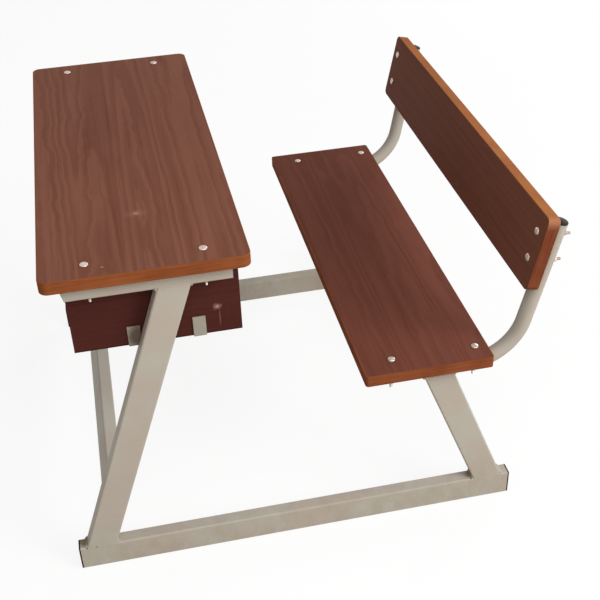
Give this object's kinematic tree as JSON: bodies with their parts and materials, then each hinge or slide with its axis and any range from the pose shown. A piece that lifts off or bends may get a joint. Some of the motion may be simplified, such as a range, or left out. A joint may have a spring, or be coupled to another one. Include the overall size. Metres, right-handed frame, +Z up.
{
  "type": "double school desk",
  "caption": "School desk for a pair of pupils: sloping-leg steel frame with a flat desktop over an open book box, footrest bar, joined bench seat and backrest.",
  "frame": {"origin": "on the floor, midway between the foot rails' front ends and the rearmost bolt end behind the backrest, and midway between the left and right ends of the boards", "axes": "+X from the desktop towards the backrest, +Y from the seated pupils' left to their right, +Z up"},
  "size_m": [1.0382, 1, 0.7535],
  "materials": {
    "board_laminate": "satin wood-grain laminate",
    "box_panel": "satin wood-grain laminate",
    "edge_band": "matte",
    "frame_paint": "satin powder coat",
    "black_plastic": "matte",
    "zinc_steel": "zinc plated"
  },
  "bodies": {
    "root": {"desktop_board": "board_laminate", "seat_board": "board_laminate", "backrest_board": "board_laminate", "desktop_edge_band": "edge_band", "seat_edge_band": "edge_band", "backrest_edge_band": "edge_band", "left_foot_rail": "frame_paint", "left_desk_leg": "frame_paint", "left_desk_arm": "frame_paint", "left_arm_end_plate": "frame_paint", "left_seat_leg": "frame_paint", "left_seat_back_tube": "frame_paint", "right_foot_rail": "frame_paint", "right_desk_leg": "frame_paint", "right_desk_arm": "frame_paint", "right_arm_end_plate": "frame_paint", "right_seat_leg": "frame_paint", "right_seat_back_tube": "frame_paint", "footrest_bar": "frame_paint", "foot_rail_plugs": "black_plastic", "desk_arm_plugs": "black_plastic", "seat_tube_plugs": "black_plastic", "upright_caps": "black_plastic", "box_left_side": "box_panel", "box_right_side": "box_panel", "box_front_panel": "box_panel", "box_floor": "box_panel", "box_divider": "box_panel", "box_front_strap": "frame_paint", "box_rear_strap": "frame_paint", "desktop_bolts": "zinc_steel", "desktop_nuts": "zinc_steel", "seat_bolts": "zinc_steel", "seat_nuts": "zinc_steel", "backrest_bolts": "zinc_steel", "backrest_nuts": "zinc_steel"}
  },
  "joints": []
}
